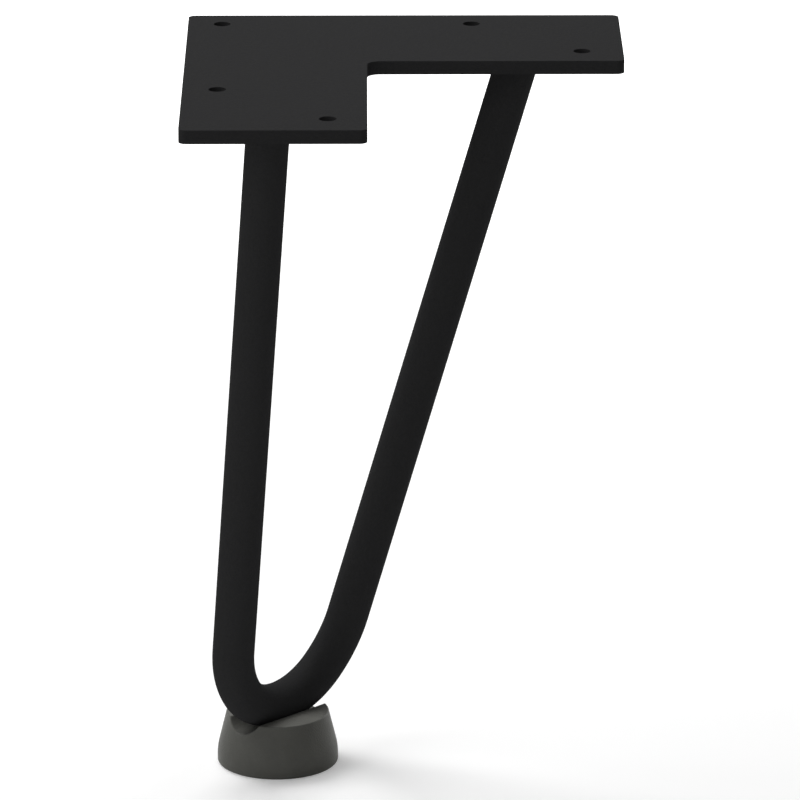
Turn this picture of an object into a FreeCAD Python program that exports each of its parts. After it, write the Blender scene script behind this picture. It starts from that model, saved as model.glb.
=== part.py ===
"""Hairpin table leg: an L-shaped mounting plate, one bent round bar and a foot cap.

Millimetres, +Z up. The origin lies on the plate's top face, straight above the middle of
the foot. X and Y run along the plate's two arms, so its outer corner points to -X and +Y.
"""
import FreeCAD, Part
import os
from math import acos, atan2, cos, hypot, pi, radians, sin
from FreeCAD import Placement, Rotation, Vector
import Sketcher

doc = FreeCAD.newDocument("HairpinLeg")

# Every size that can be changed by itself, in millimetres and degrees.
SIZES = [
    ("plate_side", 121.5, "outer edge of the L, the same both ways"),
    ("arm_width", 50.4, "width of each arm of the L"),
    ("plate_thick", 3.8, "sheet thickness of the plate"),
    ("outer_corner", 2.2, "rounding of the plate's outward corners"),
    ("inner_corner", 3.6, "rounding inside the L"),
    ("edge_break", 0.4, "softened rim of the plate, top and bottom"),
    ("screw_edge", 9.6, "screw hole centre to the nearest outer edge"),
    ("screw_pitch", 70.2, "corner hole to the next hole along an outer edge"),
    ("screw_end", 11.5, "last hole centre to the end of its arm"),
    ("screw_inner", 10.6, "last hole centre to the inner edge of its arm"),
    ("screw_bore", 4.8, "screw hole"),
    ("foot_inset", 24.3, "foot centre to both outer edges of the plate"),
    ("rod_diam", 12.0, "round bar"),
    ("steel_height", 204.2, "plate's top face to the underside of the bend"),
    ("leg_span", 98.4, "between the bar's two ends, centre to centre"),
    ("lean", 14.0, "slope of the bar's plane from the vertical"),
    ("crown_radius", 20.4, "bend at the very bottom, on the bar's centre line"),
    ("crown_half_turn", 51.0, "how far that bend reaches to each side"),
    ("flank_radius", 33.8, "wider bend between it and each straight"),
    ("foot_radius", 17.4, "foot cap at the floor"),
    ("foot_band", 4.2, "height of its upright band"),
    ("foot_top_radius", 14.7, "foot cap's flat top"),
    ("foot_tall", 15.2, "floor to the flat top"),
    ("foot_sole", 11.3, "floor to the underside of the bar"),
    ("foot_bevel", 0.4, "broken edges of the foot cap"),
    ("saddle_radius", 6.4, "round bottom of the saddle that takes the bar"),
    ("saddle_sweep", 160.0, "lengthwise curve of the saddle's floor"),
    ("saddle_gap", 0.15, "clearance between the saddle's floor and the bar"),
]
sheet = doc.addObject("Spreadsheet::Sheet", "Sizes")
for row, (name, value, note) in enumerate(SIZES, start=1):
    sheet.set("A%d" % row, note)
    sheet.set("B%d" % row, str(value))
    sheet.setAlias("B%d" % row, name)
doc.recompute()
size = {name: value for name, value, note in SIZES}

# Lengths that follow from the sizes, written once and used by several pieces.
CROWN_DEPTH = "(Sizes.steel_height - Sizes.rod_diam / 2)"
UNDERSIDE = "(%s - Sizes.plate_thick)" % CROWN_DEPTH
LOOP_RISE = "(%s / cos(Sizes.lean))" % UNDERSIDE


def new_body(label):
    body = doc.addObject("PartDesign::Body", label)
    body.Label = label
    return body


def plane(body, role):
    """One of the body's own origin planes."""
    for feature in body.Origin.OriginFeatures:
        if feature.Role == role:
            return feature
    raise ValueError(role)


def new_sketch(body, name, role):
    sketch = body.newObject("Sketcher::SketchObject", name)
    sketch.AttachmentSupport = [(plane(body, role), "")]
    sketch.MapMode = "FlatFace"
    return sketch


def drive(sketch, kind, *refs, to):
    """Add a dimension to a sketch and tie it to an expression of the sizes."""
    index = sketch.addConstraint(Sketcher.Constraint(kind, *refs))
    sketch.setExpression("Constraints[%d]" % index, to)
    return index


def fix_point(sketch, geo, pos, x, y, at):
    """Place a sketch point at (x, y) from the sketch's origin; each coordinate is an expression.

    `at` is where the point lies now, which tells the sketch the sign of each distance."""
    for kind, wanted, now in (("DistanceX", x, at[0]), ("DistanceY", y, at[1])):
        if wanted == "0":
            axis = -2 if kind == "DistanceX" else -1
            sketch.addConstraint(Sketcher.Constraint("PointOnObject", geo, pos, axis))
        else:
            drive(sketch, kind, -1, 1, geo, pos, now, to=wanted)


def closed_outline(sketch, corners):
    """Straight lines through the corners, each corner (x, y) given as two expressions."""
    where = [(number(x), number(y)) for x, y in corners]
    count = len(corners)
    for i in range(count):
        a, b = where[i], where[(i + 1) % count]
        sketch.addGeometry(Part.LineSegment(Vector(a[0], a[1], 0), Vector(b[0], b[1], 0)), False)
    for i in range(count):
        sketch.addConstraint(Sketcher.Constraint("Coincident", i, 2, (i + 1) % count, 1))
    for i, (x, y) in enumerate(corners):
        fix_point(sketch, i, 1, x, y, where[i])


def number(expression):
    """The value that an expression of the sizes has now."""
    return float(sheet.evalExpression(expression))


def edges_where(shape, test):
    """Names of the edges whose middle point and end points pass the test."""
    names = []
    for index, edge in enumerate(shape.Edges, start=1):
        first, last = edge.ParameterRange
        points = [edge.valueAt(first), edge.valueAt((first + last) / 2), edge.valueAt(last)]
        if test(edge, points):
            names.append("Edge%d" % index)
    return names


# Mounting plate: an L cut from sheet. Its body starts at the outer corner, at the underside.
plate = new_body("mounting_plate")
plate.Placement = Placement(Vector(-24, 24, -4), Rotation())
plate.setExpression("Placement.Base.x", "-Sizes.foot_inset")
plate.setExpression("Placement.Base.y", "Sizes.foot_inset")
plate.setExpression("Placement.Base.z", "-Sizes.plate_thick")

outline = new_sketch(plate, "PlateOutline", "XY_Plane")
SIDE, ARM = "Sizes.plate_side", "Sizes.arm_width"
closed_outline(outline, [("0", "0"), ("0", "-" + SIDE), (ARM, "-" + SIDE),
                         (ARM, "-" + ARM), (SIDE, "-" + ARM), (SIDE, "0")])
sheet_metal = plate.newObject("PartDesign::Pad", "PlateSheet")
sheet_metal.Profile = outline
sheet_metal.setExpression("Length", "Sizes.plate_thick")
doc.recompute()


def upright_at(corner_is_inner):
    arm = size["arm_width"]

    def test(edge, points):
        upright = abs(points[0].z - points[2].z) > 1
        inner = abs(points[1].x - arm) < 0.01 and abs(points[1].y + arm) < 0.01
        return upright and inner == corner_is_inner
    return test


corners = plate.newObject("PartDesign::Fillet", "PlateCorners")
corners.Base = (sheet_metal, edges_where(sheet_metal.Shape, upright_at(False)))
corners.setExpression("Radius", "Sizes.outer_corner")
doc.recompute()
inside = plate.newObject("PartDesign::Fillet", "PlateInnerCorner")
inside.Base = (corners, edges_where(corners.Shape, upright_at(True)))
inside.setExpression("Radius", "Sizes.inner_corner")
doc.recompute()

# The rim goes round before the holes are cut, so that only the outline is softened.
rim = plate.newObject("PartDesign::Fillet", "PlateRim")
rim.Base = (inside, edges_where(inside.Shape, lambda edge, p: abs(p[0].z - p[2].z) < 0.01))
rim.setExpression("Radius", "Sizes.edge_break")
doc.recompute()

# Five screw holes, the same seen from either arm: one at the corner, then two along each arm.
holes = new_sketch(plate, "ScrewHoles", "XY_Plane")
NEAR = "Sizes.screw_edge"
NEXT = "(Sizes.screw_edge + Sizes.screw_pitch)"
FAR = "(Sizes.plate_side - Sizes.screw_end)"
INWARD = "(Sizes.arm_width - Sizes.screw_inner)"
CENTRES = [(NEAR, NEAR), (NEXT, NEAR), (FAR, INWARD), (NEAR, NEXT), (INWARD, FAR)]
for index, (x, y) in enumerate(CENTRES):
    centre = (number(x), -number(y))
    circle = Part.Circle(Vector(centre[0], centre[1], 0), Vector(0, 0, 1), size["screw_bore"] / 2)
    holes.addGeometry(circle, False)
    fix_point(holes, index, 3, x, "-" + y, centre)
    drive(holes, "Diameter", index, size["screw_bore"], to="Sizes.screw_bore")
drilled = plate.newObject("PartDesign::Pocket", "ScrewHolesCut")
drilled.Profile = holes
drilled.Type = "ThroughAll"
drilled.Reversed = True
doc.recompute()

# Bent bar. Its body starts at the middle of the bend, on the bar's centre line, with X
# pointing along the bend. Half of the loop is swept and mirrored, and both ends are then
# sawn level where they meet the plate.
rod = new_body("hairpin_rod")
rod.Placement = Placement(Vector(0, 0, -198), Rotation(45, 0, 0))
rod.setExpression("Placement.Base.z", "-" + CROWN_DEPTH)

bar_section = new_sketch(rod, "BarSection", "YZ_Plane")
bar_section.addGeometry(Part.Circle(Vector(), Vector(0, 0, 1), size["rod_diam"] / 2), False)
bar_section.addConstraint(Sketcher.Constraint("Coincident", 0, 3, -1, 1))
drive(bar_section, "Diameter", 0, size["rod_diam"], to="Sizes.rod_diam")

path = new_sketch(rod, "HalfLoop", "XZ_Plane")
path.AttachmentOffset = Placement(Vector(), Rotation(Vector(1, 0, 0), size["lean"]))
path.setExpression("AttachmentOffset.Rotation.Angle", "Sizes.lean")

# Where the two arcs and the straight lie now, so that the sketch starts close to its answer.
tight, wide, turn = size["crown_radius"], size["flank_radius"], radians(size["crown_half_turn"])
joint = Vector(tight * sin(turn), tight * (1 - cos(turn)), 0)
wide_middle = joint + Vector(-sin(turn), cos(turn), 0) * wide
end = Vector(size["leg_span"] / 2, number(LOOP_RISE), 0)
reach = end - wide_middle
leave = atan2(reach.y, reach.x) - acos(wide / hypot(reach.x, reach.y))
tangent = wide_middle + Vector(cos(leave), sin(leave), 0) * wide
beyond = end + (end - tangent).normalize() * size["rod_diam"]

up = Vector(0, 0, 1)
crown_circle = Part.Circle(Vector(0, tight, 0), up, tight)
flank_circle = Part.Circle(wide_middle, up, wide)
path.addGeometry(Part.ArcOfCircle(crown_circle, -pi / 2, turn - pi / 2), False)
path.addGeometry(Part.ArcOfCircle(flank_circle, turn - pi / 2, leave), False)
path.addGeometry(Part.LineSegment(tangent, beyond), False)
path.addGeometry(Part.Point(end), True)
path.addConstraint(Sketcher.Constraint("Coincident", 0, 1, -1, 1))
path.addConstraint(Sketcher.Constraint("PointOnObject", 0, 3, -2))
path.addConstraint(Sketcher.Constraint("Tangent", 0, 2, 1, 1))
path.addConstraint(Sketcher.Constraint("Tangent", 1, 2, 2, 1))
drive(path, "Radius", 0, tight, to="Sizes.crown_radius")
drive(path, "Radius", 1, wide, to="Sizes.flank_radius")
drive(path, "DistanceX", -1, 1, 0, 2, joint.x, to="Sizes.crown_radius * sin(Sizes.crown_half_turn)")
fix_point(path, 3, 1, "Sizes.leg_span / 2", LOOP_RISE, (end.x, end.y))
path.addConstraint(Sketcher.Constraint("PointOnObject", 3, 1, 2))
drive(path, "DistanceY", -1, 1, 2, 2, beyond.y, to=LOOP_RISE + " + Sizes.rod_diam")

half = rod.newObject("PartDesign::AdditivePipe", "HalfBar")
half.Profile = bar_section
half.Spine = (path, ["Edge1", "Edge2", "Edge3"])
doc.recompute()
whole = rod.newObject("PartDesign::Mirrored", "WholeBar")
whole.Originals = [half]
whole.MirrorPlane = (plane(rod, "YZ_Plane"), [""])
rod.Tip = whole
doc.recompute()

saw = new_sketch(rod, "SawnEnds", "XY_Plane")
saw.setExpression("AttachmentOffset.Base.z", UNDERSIDE)
REACH = "(Sizes.leg_span / 2 + 2 * Sizes.rod_diam)"
AWAY = "(" + UNDERSIDE + " * tan(Sizes.lean) + 3 * Sizes.rod_diam)"
closed_outline(saw, [("-" + REACH, "-" + AWAY), (REACH, "-" + AWAY),
                     (REACH, AWAY), ("-" + REACH, AWAY)])
level = rod.newObject("PartDesign::Pocket", "SawnLevel")
level.Profile = saw
level.Reversed = True
level.setExpression("Length", "3 * Sizes.rod_diam")
doc.recompute()

# Foot cap: a turned body with a saddle across its top that leans as the bar does.
foot = new_body("foot_cap")
foot.Placement = Placement(Vector(0, 0, -215), Rotation(45, 0, 0))
foot.setExpression("Placement.Base.z", "-(Sizes.steel_height + Sizes.foot_sole)")

turned = new_sketch(foot, "FootSection", "XZ_Plane")
closed_outline(turned, [("0", "0"), ("Sizes.foot_radius", "0"),
                        ("Sizes.foot_radius", "Sizes.foot_band"),
                        ("Sizes.foot_top_radius", "Sizes.foot_tall"), ("0", "Sizes.foot_tall")])
cone = foot.newObject("PartDesign::Revolution", "FootCone")
cone.Profile = turned
cone.ReferenceAxis = (turned, ["V_Axis"])
cone.Angle = 360
doc.recompute()

# The saddle is a round cutter swung about a far axis: its floor dips under the bar.
CUTTER_UP = "(Sizes.saddle_radius - Sizes.rod_diam / 2 - Sizes.saddle_gap)"
SWING_UP = "(Sizes.saddle_sweep - Sizes.rod_diam / 2 - Sizes.saddle_gap)"
BAR_AXIS = "(Sizes.foot_sole + Sizes.rod_diam / 2)"
saddle = new_sketch(foot, "SaddleSection", "YZ_Plane")
cutter = ("-" + CUTTER_UP + " * sin(Sizes.lean)",
          BAR_AXIS + " + " + CUTTER_UP + " * cos(Sizes.lean)")
swing = ("-" + SWING_UP + " * sin(Sizes.lean)",
         BAR_AXIS + " + " + SWING_UP + " * cos(Sizes.lean)")
cutter_at = tuple(number(part) for part in cutter)
swing_at = tuple(number(part) for part in swing)
along = Vector(cos(radians(size["lean"])), sin(radians(size["lean"])), 0) * size["rod_diam"]
start = Vector(swing_at[0], swing_at[1], 0)
cutter_circle = Part.Circle(Vector(cutter_at[0], cutter_at[1], 0), up, size["saddle_radius"])
saddle.addGeometry(cutter_circle, False)
saddle.addGeometry(Part.LineSegment(start, start + along), True)
fix_point(saddle, 0, 3, cutter[0], cutter[1], cutter_at)
drive(saddle, "Radius", 0, size["saddle_radius"], to="Sizes.saddle_radius")
fix_point(saddle, 1, 1, swing[0], swing[1], swing_at)
drive(saddle, "Angle", 1, radians(size["lean"]), to="Sizes.lean")
drive(saddle, "Distance", 1, size["rod_diam"], to="Sizes.rod_diam")
groove = foot.newObject("PartDesign::Groove", "Saddle")
groove.Profile = saddle
groove.ReferenceAxis = (saddle, ["Axis0"])
groove.Midplane = True
groove.setExpression("Angle", "4 * asin(Sizes.foot_radius / Sizes.saddle_sweep)")
doc.recompute()


def foot_rims(edge, points):
    """The floor rim, and every edge round the two lands and the saddle's mouths."""
    at_floor = all(abs(point.z) < 0.01 for point in points)
    seam = any(abs(points[i].z - size["foot_band"]) < 0.01 for i in (0, 2))
    on_top = all(point.z > size["foot_band"] + 0.01 for point in points)
    return at_floor or (on_top and not seam)


softened = foot.newObject("PartDesign::Chamfer", "FootRims")
softened.Base = (groove, edges_where(groove.Shape, foot_rims))
softened.setExpression("Size", "Sizes.foot_bevel")
doc.recompute()

PIECES = [plate, rod, foot]
for before, after in ((rim, drilled), (whole, level), (cone, groove)):
    if not after.Shape.Volume < before.Shape.Volume - 1:
        raise RuntimeError("%s cut nothing away" % after.Name)
for item in doc.Objects:
    if "Invalid" in item.State or "Error" in item.State:
        raise RuntimeError("%s did not build: %s" % (item.Name, item.State))
for piece in PIECES:
    print(piece.Label, piece.Shape.isValid(), len(piece.Shape.Solids),
          round(piece.Shape.Volume, 2), piece.Shape.BoundBox)
    if piece.Shape.isNull() or not piece.Shape.isValid() or len(piece.Shape.Solids) != 1:
        raise RuntimeError("%s is not one sound solid" % piece.Label)

os.makedirs("parts", exist_ok=True)
for piece in PIECES:
    piece.Shape.exportStep("parts/%s.step" % piece.Label)
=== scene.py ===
"""A short hairpin table leg: powder-coated corner plate and bent bar on a rubber foot."""

from math import acos, atan2, cos, hypot, pi, radians, sin

import bmesh
import bpy
import numpy as np
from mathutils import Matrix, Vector


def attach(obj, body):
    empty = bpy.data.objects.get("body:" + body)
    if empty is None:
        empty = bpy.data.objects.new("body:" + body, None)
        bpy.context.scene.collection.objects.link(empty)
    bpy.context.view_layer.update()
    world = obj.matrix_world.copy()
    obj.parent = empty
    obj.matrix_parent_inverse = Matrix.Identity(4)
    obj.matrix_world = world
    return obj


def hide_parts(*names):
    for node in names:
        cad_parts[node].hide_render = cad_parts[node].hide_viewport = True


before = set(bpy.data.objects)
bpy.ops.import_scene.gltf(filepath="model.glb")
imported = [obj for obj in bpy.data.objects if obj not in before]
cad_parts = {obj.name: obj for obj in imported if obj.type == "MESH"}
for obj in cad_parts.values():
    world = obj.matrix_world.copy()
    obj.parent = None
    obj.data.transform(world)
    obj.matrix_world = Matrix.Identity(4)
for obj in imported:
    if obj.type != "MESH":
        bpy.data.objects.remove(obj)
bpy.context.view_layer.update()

MM = 0.001

# Sizes in millimetres, in the frame of the leg: the origin is on the plate's upper face,
# straight above the middle of the foot, X and Y run along the plate's arms.
PLATE_SIDE, ARM_WIDTH, PLATE_THICK = 121.5, 50.4, 3.8
OUTER_CORNER, INNER_CORNER, RIM_ROUND, HOLE_ROUND = 2.2, 3.6, 0.4, 0.2
FOOT_INSET = 24.3
SCREW_BORE = 4.8
SCREW_CENTRES = [(9.6, 9.6), (79.8, 9.6), (110.0, 39.8), (9.6, 79.8), (39.8, 110.0)]

BAR_DIAMETER, STEEL_HEIGHT, LEG_SPAN, LEAN = 12.0, 204.2, 98.4, radians(14.0)
CROWN_RADIUS, CROWN_HALF_TURN, FLANK_RADIUS = 20.4, radians(51.0), 33.8
CROWN_DEPTH = STEEL_HEIGHT - BAR_DIAMETER / 2

FOOT_RADIUS, FOOT_BAND, FOOT_TOP_RADIUS, FOOT_TALL, FOOT_SOLE = 17.4, 4.2, 14.7, 15.2, 11.3
SADDLE_RADIUS, SADDLE_SWEEP, SADDLE_GAP = 6.4, 160.0, 0.15
SADDLE_EDGE, RIM_EDGE, BAND_EDGE, SOLE_EDGE = 0.2, 0.35, 0.5, 0.8
FLOOR = -(STEEL_HEIGHT + FOOT_SOLE) * MM

# How finely curves are divided.
CORNER_STEPS, HOLE_SIDES, BEND_STEPS, BAR_SIDES, FOOT_SLICES = 10, 48, 40, 96, 384

# The studio, in metres and watts: what the lamps aim at, and how the floor's own white grows
# from beside the leg, where the shadow shows, to far away.
STUDIO_AIM = Vector((0.02, -0.02, -0.10))
SOFTBOX_SIZE, SOFTBOX_AWAY = 0.8, 1.6
SKY_GLOW = 0.01
FLOOR_GLOW, FLOOR_GLOW_FROM, FLOOR_WHITE_FROM, FLOOR_REACH = 0.25, 0.35, 1.10, 12.0

# The camera: the picture's side and the focal length, both in pixels.
PICTURE_SIDE, FOCAL_LENGTH = 800, 6794.4


def new_finish(name):
    """A material with a Principled shader; returns the material, its nodes, links and shader."""
    finish = bpy.data.materials.new(name)
    finish.use_nodes = True
    nodes, links = finish.node_tree.nodes, finish.node_tree.links
    return finish, nodes, links, nodes["Principled BSDF"]


def grain(nodes, links, scale, detail=2.0, roughness=0.5):
    """A noise on the piece's own coordinates; scale is in grains per metre."""
    place = nodes.new("ShaderNodeTexCoord")
    noise = nodes.new("ShaderNodeTexNoise")
    noise.inputs["Scale"].default_value = scale
    noise.inputs["Detail"].default_value = detail
    noise.inputs["Roughness"].default_value = roughness
    links.new(place.outputs["Object"], noise.inputs["Vector"])
    return noise


def spread(nodes, links, source, low, high, start=0.3, stop=0.7):
    """Maps a noise to the range low..high."""
    remap = nodes.new("ShaderNodeMapRange")
    remap.inputs["From Min"].default_value = start
    remap.inputs["From Max"].default_value = stop
    remap.inputs["To Min"].default_value = low
    remap.inputs["To Max"].default_value = high
    links.new(source, remap.inputs["Value"])
    return remap.outputs["Result"]


def tint(nodes, links, source, dark, light):
    """Mixes two colours by a noise."""
    ramp = nodes.new("ShaderNodeValToRGB")
    ramp.color_ramp.elements[0].position = 0.3
    ramp.color_ramp.elements[0].color = (*dark, 1)
    ramp.color_ramp.elements[1].position = 0.7
    ramp.color_ramp.elements[1].color = (*light, 1)
    links.new(source, ramp.inputs["Fac"])
    return ramp.outputs["Color"]


def bump(nodes, links, height, strength, depth):
    """Raises a noise by depth, in metres; returns the bump node."""
    relief = nodes.new("ShaderNodeBump")
    relief.inputs["Strength"].default_value = strength
    relief.inputs["Distance"].default_value = depth
    links.new(height, relief.inputs["Height"])
    return relief


def powder_coat():
    """Matte black baked powder: a faint orange peel with a finer dry grain on top."""
    finish, nodes, links, shader = new_finish("matte_black_powder_coat")
    shader.inputs["Specular IOR Level"].default_value = 0.01
    dry = grain(nodes, links, 3200.0, detail=2.0)
    links.new(tint(nodes, links, dry.outputs["Fac"], (0.0258, 0.0258, 0.0264),
                   (0.0302, 0.0302, 0.0309)), shader.inputs["Base Color"])
    peel = grain(nodes, links, 900.0, detail=1.0)
    links.new(spread(nodes, links, peel.outputs["Fac"], 0.90, 1.0), shader.inputs["Roughness"])
    peel_relief = bump(nodes, links, peel.outputs["Fac"], 0.8, 0.14 * MM)
    dry_relief = bump(nodes, links, dry.outputs["Fac"], 0.7, 0.05 * MM)
    links.new(peel_relief.outputs["Normal"], dry_relief.inputs["Normal"])
    links.new(dry_relief.outputs["Normal"], shader.inputs["Normal"])
    return finish


def moulded_rubber():
    """Dark grey rubber: a fine mould grain over faint clouds of darker and paler rubber."""
    finish, nodes, links, shader = new_finish("dark_grey_rubber")
    shader.inputs["Specular IOR Level"].default_value = 0.06
    cloud = grain(nodes, links, 120.0, detail=4.0)
    links.new(tint(nodes, links, cloud.outputs["Fac"], (0.1025, 0.103, 0.094),
                   (0.118, 0.1185, 0.108)), shader.inputs["Base Color"])
    mould = grain(nodes, links, 2200.0, detail=2.0)
    links.new(spread(nodes, links, mould.outputs["Fac"], 0.38, 0.48), shader.inputs["Roughness"])
    relief = bump(nodes, links, mould.outputs["Fac"], 0.8, 0.11 * MM)
    links.new(relief.outputs["Normal"], shader.inputs["Normal"])
    return finish


def add_piece(name, mesh, finish):
    """An object with this mesh and one finish."""
    piece = bpy.data.objects.new(name, mesh)
    bpy.context.scene.collection.objects.link(piece)
    mesh.materials.clear()
    mesh.materials.append(finish)
    return piece


def arc(centre, radius, start, stop, steps):
    """Points along an arc, both ends among them."""
    angles = [start + (stop - start) * i / steps for i in range(steps + 1)]
    return [(centre[0] + radius * cos(a), centre[1] + radius * sin(a)) for a in angles]


def plate_outline():
    """The L with its rounded corners, from the outer corner, as (x, y) in millimetres."""
    side, arm, out, inn = PLATE_SIDE, ARM_WIDTH, OUTER_CORNER, INNER_CORNER
    steps = CORNER_STEPS
    line = []
    line += arc((side - out, -out), out, pi / 2, 0, steps)
    line += arc((side - out, -arm + out), out, 0, -pi / 2, steps)
    line += arc((arm + inn, -arm - inn), inn, pi / 2, pi, steps)
    line += arc((arm - out, -side + out), out, 0, -pi / 2, steps)
    line += arc((out, -side + out), out, -pi / 2, -pi, steps)
    line += arc((out, -out), out, pi, pi / 2, steps)
    return line


def build_plate(finish):
    """The corner plate, cut from sheet, with its edges rounded by the coat."""
    shape = bmesh.new()
    loops = [plate_outline()]
    for x, y in SCREW_CENTRES:
        loops.append(arc((x, -y), SCREW_BORE / 2, 0, 2 * pi, HOLE_SIDES)[:-1])
    edges = []
    for loop in loops:
        ring = [shape.verts.new(((x - FOOT_INSET) * MM, (y + FOOT_INSET) * MM, 0)) for x, y in loop]
        edges += [shape.edges.new((ring[i - 1], ring[i])) for i in range(len(ring))]
    bmesh.ops.triangle_fill(shape, use_beauty=True, edges=edges)
    made = bmesh.ops.extrude_face_region(shape, geom=shape.faces[:])
    lower = [item for item in made["geom"] if isinstance(item, bmesh.types.BMVert)]
    bmesh.ops.translate(shape, vec=(0, 0, -PLATE_THICK * MM), verts=lower)
    bmesh.ops.recalc_face_normals(shape, faces=shape.faces[:])
    weight = shape.edges.layers.float.new("bevel_weight_edge")
    for edge in shape.edges:
        if edge.is_manifold and edge.calc_face_angle() > 1:
            middle = (edge.verts[0].co + edge.verts[1].co) / 2 / MM
            east, south = middle.x + FOOT_INSET, FOOT_INSET - middle.y
            near_hole = any(hypot(east - x, south - y) < SCREW_BORE for x, y in SCREW_CENTRES)
            edge[weight] = HOLE_ROUND / RIM_ROUND if near_hole else 1.0
    mesh = bpy.data.meshes.new("corner_plate")
    shape.to_mesh(mesh)
    shape.free()
    plate = add_piece("corner_plate", mesh, finish)
    rounding = plate.modifiers.new("edge rounding", "BEVEL")
    rounding.width = RIM_ROUND * MM
    rounding.segments = 4
    rounding.limit_method = "WEIGHT"
    rounding.harden_normals = True
    mesh.polygons.foreach_set("use_smooth", [True] * len(mesh.polygons))
    return plate


def bar_line():
    """The bar's centre line, in metres, from one end to the other.

    It lies in a plane that leans by LEAN: across is measured along the bend, rise up the plane."""
    rise = (CROWN_DEPTH - PLATE_THICK) / cos(LEAN)
    turn = CROWN_HALF_TURN
    joint = (CROWN_RADIUS * sin(turn), CROWN_RADIUS * (1 - cos(turn)))
    middle = (joint[0] - FLANK_RADIUS * sin(turn), joint[1] + FLANK_RADIUS * cos(turn))
    reach = (LEG_SPAN / 2 - middle[0], rise - middle[1])
    leave = atan2(reach[1], reach[0]) - acos(FLANK_RADIUS / hypot(*reach))
    half = arc((0, CROWN_RADIUS), CROWN_RADIUS, -pi / 2, turn - pi / 2, BEND_STEPS)
    half += arc(middle, FLANK_RADIUS, turn - pi / 2, leave, BEND_STEPS)[1:]
    tangent = half[-1]
    run = (LEG_SPAN / 2 - tangent[0], rise - tangent[1])
    past = 1 + BAR_DIAMETER / hypot(*run)
    half.append((tangent[0] + run[0] * past, tangent[1] + run[1] * past))
    flat = [(-x, y) for x, y in reversed(half[1:])] + half
    across = Vector((1, 1, 0)).normalized()
    up = Vector((sin(LEAN), -sin(LEAN), cos(LEAN) * 2 ** 0.5)).normalized()
    crown = Vector((0, 0, -CROWN_DEPTH))
    return [(crown + across * x + up * y) * MM for x, y in flat]


def sweep_tree():
    """Sweeps a round bar along a path and saws its ends off level."""
    tree = bpy.data.node_groups.new("bent bar", "GeometryNodeTree")
    face = tree.interface
    face.new_socket("Path", in_out="INPUT", socket_type="NodeSocketGeometry")
    face.new_socket("Bar radius", in_out="INPUT", socket_type="NodeSocketFloat")
    face.new_socket("Sides", in_out="INPUT", socket_type="NodeSocketInt")
    face.new_socket("Sawn level", in_out="INPUT", socket_type="NodeSocketFloat")
    face.new_socket("Finish", in_out="INPUT", socket_type="NodeSocketMaterial")
    face.new_socket("Bar", in_out="OUTPUT", socket_type="NodeSocketGeometry")
    nodes, links = tree.nodes, tree.links
    given = nodes.new("NodeGroupInput")

    keep = nodes.new("GeometryNodeCaptureAttribute")
    keep.capture_items.new("VECTOR", "Along")
    links.new(given.outputs["Path"], keep.inputs["Geometry"])
    links.new(nodes.new("GeometryNodeInputTangent").outputs["Tangent"], keep.inputs["Along"])
    section = nodes.new("GeometryNodeCurvePrimitiveCircle")
    links.new(given.outputs["Sides"], section.inputs["Resolution"])
    links.new(given.outputs["Bar radius"], section.inputs["Radius"])
    sweep = nodes.new("GeometryNodeCurveToMesh")
    sweep.inputs["Fill Caps"].default_value = True
    links.new(keep.outputs["Geometry"], sweep.inputs["Curve"])
    links.new(section.outputs["Curve"], sweep.inputs["Profile Curve"])

    # Every point above the sawn level slides back along the bar to it.
    where = nodes.new("ShaderNodeSeparateXYZ")
    links.new(nodes.new("GeometryNodeInputPosition").outputs["Position"], where.inputs["Vector"])
    slope = nodes.new("ShaderNodeSeparateXYZ")
    links.new(keep.outputs["Along"], slope.inputs["Vector"])
    above = nodes.new("ShaderNodeMath")
    above.operation = "SUBTRACT"
    links.new(where.outputs["Z"], above.inputs[0])
    links.new(given.outputs["Sawn level"], above.inputs[1])
    share = nodes.new("ShaderNodeMath")
    share.operation = "DIVIDE"
    links.new(above.outputs["Value"], share.inputs[0])
    links.new(slope.outputs["Z"], share.inputs[1])
    back = nodes.new("ShaderNodeVectorMath")
    back.operation = "SCALE"
    links.new(keep.outputs["Along"], back.inputs["Vector"])
    links.new(share.outputs["Value"], back.inputs["Scale"])
    flip = nodes.new("ShaderNodeVectorMath")
    flip.operation = "SCALE"
    flip.inputs["Scale"].default_value = -1.0
    links.new(back.outputs["Vector"], flip.inputs["Vector"])
    too_high = nodes.new("FunctionNodeCompare")
    too_high.data_type = "FLOAT"
    too_high.operation = "GREATER_THAN"
    links.new(above.outputs["Value"], too_high.inputs["A"])
    saw = nodes.new("GeometryNodeSetPosition")
    links.new(sweep.outputs["Mesh"], saw.inputs["Geometry"])
    links.new(too_high.outputs["Result"], saw.inputs["Selection"])
    links.new(flip.outputs["Vector"], saw.inputs["Offset"])

    real = nodes.new("GeometryNodeRealizeInstances")
    coat = nodes.new("GeometryNodeSetMaterial")
    made = nodes.new("NodeGroupOutput")
    links.new(saw.outputs["Geometry"], real.inputs["Geometry"])
    links.new(real.outputs["Geometry"], coat.inputs["Geometry"])
    links.new(given.outputs["Finish"], coat.inputs["Material"])
    links.new(coat.outputs["Geometry"], made.inputs["Bar"])
    return tree


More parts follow.
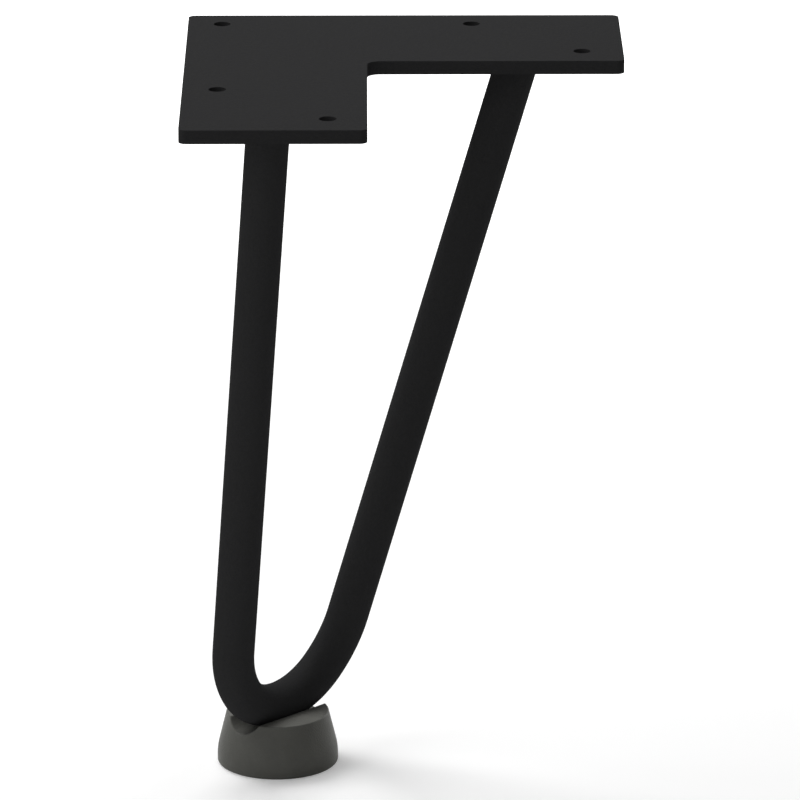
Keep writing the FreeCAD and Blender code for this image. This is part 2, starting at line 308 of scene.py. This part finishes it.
def build_bar(finish):
    """The hairpin, swept along its centre line."""
    path = bpy.data.curves.new("bar centre line", "CURVE")
    path.dimensions = "3D"
    spline = path.splines.new("POLY")
    points = bar_line()
    spline.points.add(len(points) - 1)
    for point, place in zip(spline.points, points):
        point.co = (*place, 1)
    rig = bpy.data.objects.new("bar path", path)
    bpy.context.scene.collection.objects.link(rig)
    tree = sweep_tree()
    sweep = rig.modifiers.new("sweep", "NODES")
    sweep.node_group = tree
    values = {"Bar radius": BAR_DIAMETER / 2 * MM, "Sides": BAR_SIDES,
              "Sawn level": -PLATE_THICK * MM, "Finish": finish}
    for item in tree.interface.items_tree:
        if item.in_out == "INPUT" and item.name in values:
            sweep[item.identifier] = values[item.name]
    rig.update_tag()
    seen = rig.evaluated_get(bpy.context.evaluated_depsgraph_get())
    mesh = bpy.data.meshes.new_from_object(seen)
    bpy.data.objects.remove(rig)
    mesh.name = "hairpin_bar"
    mesh.polygons.foreach_set("use_smooth", [len(face.vertices) == 4 for face in mesh.polygons])
    return add_piece("hairpin_bar", mesh, finish)


def rounded_max(a, b, k):
    """The larger of two distances, rounded over k where they meet."""
    return np.maximum(a, b) + np.maximum(k - np.abs(a - b), 0) ** 2 / (4 * k)


def foot_distance(r, z, turn):
    """Below zero inside the foot cap, at radius r and height z above the floor, in millimetres.

    turn is the angle round the foot from the line of the bend."""
    slope = atan2(FOOT_RADIUS - FOOT_TOP_RADIUS, FOOT_TALL - FOOT_BAND)
    band = r - FOOT_RADIUS
    cone = (r - FOOT_RADIUS) * cos(slope) + (z - FOOT_BAND) * sin(slope)
    wall = rounded_max(band, cone, BAND_EDGE)
    along, across = r * np.cos(turn), r * np.sin(turn)
    high = z - FOOT_SOLE - BAR_DIAMETER / 2
    up = high * cos(LEAN) - across * sin(LEAN)
    side = across * cos(LEAN) + high * sin(LEAN)
    swing = SADDLE_SWEEP - BAR_DIAMETER / 2 - SADDLE_GAP
    sweep = SADDLE_SWEEP - SADDLE_RADIUS
    cutter = np.hypot(np.hypot(along, swing - up) - sweep, side) - SADDLE_RADIUS
    top = rounded_max(z - FOOT_TALL, -cutter, SADDLE_EDGE)
    return rounded_max(rounded_max(wall, top, RIM_EDGE), -z, SOLE_EDGE)


def build_foot(finish):
    """The foot cap: each upright slice through its axis is traced from a point inside it."""
    eye_r, eye_z = 9.0, 4.5
    crown_floor = FOOT_SOLE - SADDLE_GAP
    # Each fan of directions has a start, a stop and a number of rays, more of them near an edge.
    fans = [(atan2(-eye_z, -eye_r), -0.60, 14), (-0.60, -0.42, 14), (-0.42, -0.12, 5),
            (-0.12, 0.08, 8), (0.08, 0.85, 12), (0.85, 1.25, 40), (1.25, 2.20, 80),
            (2.20, atan2(crown_floor - eye_z, -eye_r), 16)]
    angles = np.concatenate([np.linspace(a, b, n, endpoint=False) for a, b, n in fans]
                            + [[fans[-1][1]]])
    turns = np.arange(FOOT_SLICES) * 2 * pi / FOOT_SLICES
    aim, turn = np.meshgrid(angles, turns)
    near, far = np.zeros_like(aim), np.full_like(aim, 30.0)
    halvings = 40
    for _ in range(halvings):
        middle = (near + far) / 2
        inside = foot_distance(eye_r + middle * np.cos(aim), eye_z + middle * np.sin(aim), turn) < 0
        near, far = np.where(inside, middle, near), np.where(inside, far, middle)
    r, z = eye_r + near * np.cos(aim), eye_z + near * np.sin(aim)
    heading = turn + pi / 4
    spots = np.stack([r * np.cos(heading) * MM, r * np.sin(heading) * MM, z * MM + FLOOR], axis=2)
    shape = bmesh.new()
    floor_pole = shape.verts.new((0, 0, FLOOR))
    top_pole = shape.verts.new((0, 0, float(z[:, -1].mean()) * MM + FLOOR))
    rows = [[shape.verts.new(spot) for spot in ring[1:-1]] for ring in spots]
    for i in range(FOOT_SLICES):
        this, other = rows[i], rows[(i + 1) % FOOT_SLICES]
        shape.faces.new((floor_pole, other[0], this[0]))
        shape.faces.new((top_pole, this[-1], other[-1]))
        for j in range(len(this) - 1):
            shape.faces.new((this[j], other[j], other[j + 1], this[j + 1]))
    bmesh.ops.recalc_face_normals(shape, faces=shape.faces[:])
    for face in shape.faces:
        face.smooth = True
    mesh = bpy.data.meshes.new("rubber_foot")
    shape.to_mesh(mesh)
    shape.free()
    return add_piece("rubber_foot", mesh, finish)


coat, rubber = powder_coat(), moulded_rubber()
plate = build_plate(coat)
bar = build_bar(coat)
foot = build_foot(rubber)

for piece, node, slot in ((plate, "mounting_plate", "powder_coat"),
                          (bar, "hairpin_rod", "powder_coat"),
                          (foot, "foot_cap", "foot_rubber")):
    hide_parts(node)
    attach(piece, "root")


def seen_rays(nodes, links, unseen, seen):
    """One value for what the camera sees, directly, mirrored or through glass, one for the rest."""
    rays = nodes.new("ShaderNodeLightPath")
    mirrored = nodes.new("ShaderNodeMath")
    mirrored.operation = "MAXIMUM"
    links.new(rays.outputs["Is Camera Ray"], mirrored.inputs[0])
    links.new(rays.outputs["Is Glossy Ray"], mirrored.inputs[1])
    either = nodes.new("ShaderNodeMath")
    either.operation = "MAXIMUM"
    links.new(mirrored.outputs["Value"], either.inputs[0])
    links.new(rays.outputs["Is Transmission Ray"], either.inputs[1])
    level = nodes.new("ShaderNodeMapRange")
    level.inputs["To Min"].default_value = unseen
    level.inputs["To Max"].default_value = seen
    links.new(either.outputs["Value"], level.inputs["Value"])
    return level.outputs["Result"]


def studio_floor():
    """A white floor. What the camera sees of it gets whiter away from the leg and its shadow."""
    material, nodes, links, shader = new_finish("white_floor")
    shader.inputs["Base Color"].default_value = (0.86, 0.86, 0.86, 1)
    shader.inputs["Roughness"].default_value = 0.9
    shader.inputs["Specular IOR Level"].default_value = 0.0
    shader.inputs["Emission Color"].default_value = (1, 1, 1, 1)
    place = nodes.new("ShaderNodeTexCoord")
    away = nodes.new("ShaderNodeVectorMath")
    away.operation = "LENGTH"
    links.new(place.outputs["Object"], away.inputs[0])
    whiter = nodes.new("ShaderNodeMapRange")
    whiter.interpolation_type = "SMOOTHSTEP"
    whiter.inputs["From Min"].default_value = FLOOR_GLOW_FROM
    whiter.inputs["From Max"].default_value = FLOOR_WHITE_FROM
    whiter.inputs["To Min"].default_value = FLOOR_GLOW
    whiter.inputs["To Max"].default_value = 1.0
    links.new(away.outputs["Value"], whiter.inputs["Value"])
    glow = nodes.new("ShaderNodeMath")
    glow.operation = "MULTIPLY"
    links.new(whiter.outputs["Result"], glow.inputs[0])
    links.new(seen_rays(nodes, links, 0.0, 1.0), glow.inputs[1])
    links.new(glow.outputs["Value"], shader.inputs["Emission Strength"])
    mesh = bpy.data.meshes.new("studio_floor")
    reach = FLOOR_REACH
    mesh.from_pydata([(-reach, -reach, FLOOR), (reach, -reach, FLOOR), (reach, reach, FLOOR),
                      (-reach, reach, FLOOR)], [], [(0, 1, 2, 3)])
    floor = add_piece("studio_floor", mesh, material)


def softbox(name, heading, height, power):
    """A square soft light, aimed at the leg; heading 0 is in front of it and 90 to its right."""
    light = bpy.data.lights.new(name, "AREA")
    light.shape = "SQUARE"
    light.size, light.energy = SOFTBOX_SIZE, power
    lamp = bpy.data.objects.new(name, light)
    turn, rise = radians(heading), radians(height)
    out = Vector((sin(turn) * cos(rise), -cos(turn) * cos(rise), sin(rise)))
    lamp.location = STUDIO_AIM + out * SOFTBOX_AWAY
    lamp.rotation_euler = (-out).to_track_quat("-Z", "Y").to_euler()
    bpy.context.scene.collection.objects.link(lamp)


def studio_sky():
    """White where it is seen, and nearly dark as a light."""
    world = bpy.data.worlds.new("white studio")
    world.use_nodes = True
    nodes, links = world.node_tree.nodes, world.node_tree.links
    sky = nodes["Background"]
    sky.inputs["Color"].default_value = (1, 1, 1, 1)
    links.new(seen_rays(nodes, links, SKY_GLOW, 1.0), sky.inputs["Strength"])
    bpy.context.scene.world = world


def photo_camera():
    """The photograph's view from the nearest camera that needs no shift."""
    lens = bpy.data.cameras.new("photo camera")
    lens.sensor_width = 36.0
    lens.lens = lens.sensor_width * FOCAL_LENGTH / PICTURE_SIDE
    lens.clip_start, lens.clip_end = 0.05, 60.0
    camera = bpy.data.objects.new("photo camera", lens)
    camera.location = (0.0250, -1.8398, 0.4842)
    camera.rotation_euler = (radians(90 - 17.802), 0, radians(-0.321))
    bpy.context.scene.collection.objects.link(camera)
    bpy.context.scene.camera = camera


studio_floor()
studio_sky()
softbox("back softbox", 180, 60, 8.2)
softbox("back left softbox", -145, 50, 13.6)
softbox("left softbox", -90, 55, 4.8)
softbox("front left fill", -60, 20, 3.1)
softbox("front fill", -10, 25, 3.3)
softbox("back right fill", 132, 13, 9.5)
photo_camera()

scene = bpy.context.scene
scene.view_settings.view_transform = "Standard"
